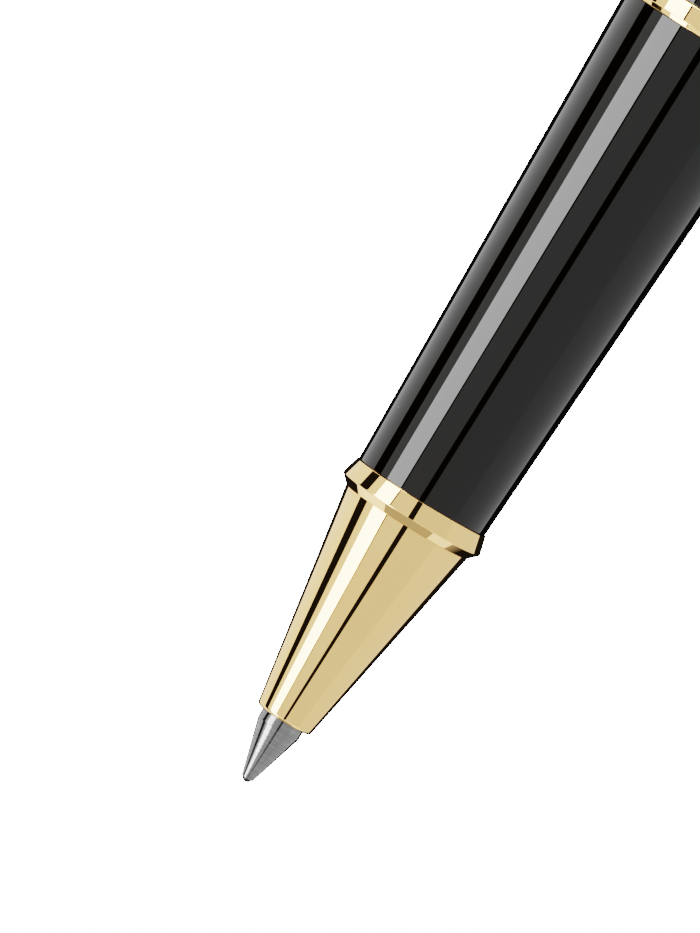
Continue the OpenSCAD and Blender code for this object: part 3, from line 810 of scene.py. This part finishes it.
studio = {"radius": 0.45, "height": 2.5, "middle": 0.05}
softBoxes = {
    "backLeft": {"from": -145, "to": -97, "level": 1.4},
    "sideLeft": {"from": -79, "to": -64, "level": 1.2},
    "key": {"from": -64, "to": -36, "level": 8.0},
    "frontLeft": {"from": -34, "to": -2, "level": 1.0},
    "frontRight": {"from": 7, "to": 65, "level": 0.9},
    "sideRight": {"from": 65, "to": 135, "level": 1.0},
}


def makeSoftBox(name, look):
    turn = math.radians((look["from"] + look["to"]) / 2)
    width = 2 * studio["radius"] * math.tan(math.radians(look["to"] - look["from"]) / 2)
    place = (studio["radius"] * math.sin(turn), -studio["radius"] * math.cos(turn), studio["middle"])
    bpy.ops.object.light_add(type="AREA", rotation=(math.radians(90), 0, turn), location=place)
    box = bpy.context.active_object
    box.name = box.data.name = name + "SoftBox"
    box.data.shape = "RECTANGLE"
    box.data.size, box.data.size_y = width, studio["height"]
    box.data.energy = math.pi * width * studio["height"] * look["level"]
    box.visible_camera = False


for boxName, boxLook in softBoxes.items():
    makeSoftBox(boxName, boxLook)
print("soft boxes:", len(softBoxes))


# White surroundings for the camera, soft light from above and below for the rest

surroundings = {"white": 16.0, "above": 0.8, "side": 0.02, "below": 0.5}


def makeSurroundings(look=surroundings):
    world = bpy.data.worlds.new("studioWhite")
    bpy.context.scene.world = world
    world.use_nodes = True
    tree = world.node_tree
    where = addNode(tree, "SeparateXYZ", {0: addNode(tree, "TexCoord").outputs["Generated"]})
    up = addNode(tree, "MapRange", {"Value": where.outputs["Z"], "From Min": 0.6, "From Max": 0.95,
                                    "To Min": look["side"], "To Max": look["above"]})
    down = addNode(tree, "MapRange", {"Value": where.outputs["Z"], "From Min": -0.6, "From Max": -0.8,
                                      "To Max": look["below"]})
    soft = addNode(tree, "Math", {0: up.outputs[0], 1: down.outputs[0]})
    seen = addNode(tree, "LightPath").outputs["Is Camera Ray"]
    colour = addNode(tree, "Mix", {"Factor": seen, 6: soft.outputs[0], 7: (*[look["white"]] * 3, 1)},
                     data_type="RGBA")
    tree.links.new(colour.outputs[2], tree.nodes["Background"].inputs["Color"])


makeSurroundings()


# Pale floor under the point, lit to the same white

floorLook = {"size": 16, "drop": 0.2}


def makeFloor(look=floorLook):
    deselectAll()
    bpy.ops.mesh.primitive_plane_add(size=look["size"], location=(0, 0, cadBounds[0].z - look["drop"] * mm))
    floor = bpy.context.active_object
    floor.name = floor.data.name = "paleFloor"
    applyPlace()
    material = bpy.data.materials.new("paleFloor")
    material.use_nodes = True
    tree = material.node_tree
    tree.nodes.remove(tree.nodes["Principled BSDF"])
    white = addNode(tree, "Emission", {"Color": (1, 1, 1, 1), "Strength": surroundings["white"]})
    clear = addNode(tree, "BsdfTransparent")
    under = addNode(tree, "NewGeometry").outputs["Backfacing"]
    both = addNode(tree, "MixShader", {0: under, 1: white.outputs[0], 2: clear.outputs[0]})
    tree.links.new(both.outputs[0], tree.nodes["Material Output"].inputs["Surface"])
    floor.data.materials.append(material)
    for ray in ("diffuse", "glossy", "transmission", "shadow"):
        setattr(floor, "visible_" + ray, False)


makeFloor()


# Camera: a long lens a little above the grip, turned so that the pen climbs to the right

cameraPlace = {
    "aim": (-4.33, 0.0, 18.2), "from": (-4.33, -850.0, 72.0), "climb": 58.2, "lens": 585.0, "sensor": 36.0,
    "near": 0.1, "far": 20,
}


def makeCamera(look=cameraPlace):
    aim, eye = Vector(look["aim"]) * mm, Vector(look["from"]) * mm
    back = (eye - aim).normalized()
    turn = math.radians(90 - look["climb"])
    up = Vector((-math.sin(turn), 0, math.cos(turn)))
    right = up.cross(back).normalized()
    up = back.cross(right)
    camera = bpy.data.objects.new("studioCamera", bpy.data.cameras.new("studioCamera"))
    bpy.context.scene.collection.objects.link(camera)
    camera.matrix_world = Matrix.Translation(eye) @ Matrix((right, up, back)).transposed().to_4x4()
    camera.data.lens, camera.data.sensor_width = look["lens"], look["sensor"]
    camera.data.clip_start, camera.data.clip_end = look["near"], look["far"]
    bpy.context.scene.camera = camera
    bpy.context.scene.view_settings.view_transform = "Filmic"
    bpy.context.scene.view_settings.look = "High Contrast"


makeCamera()
deselectAll()

print("scene ready")
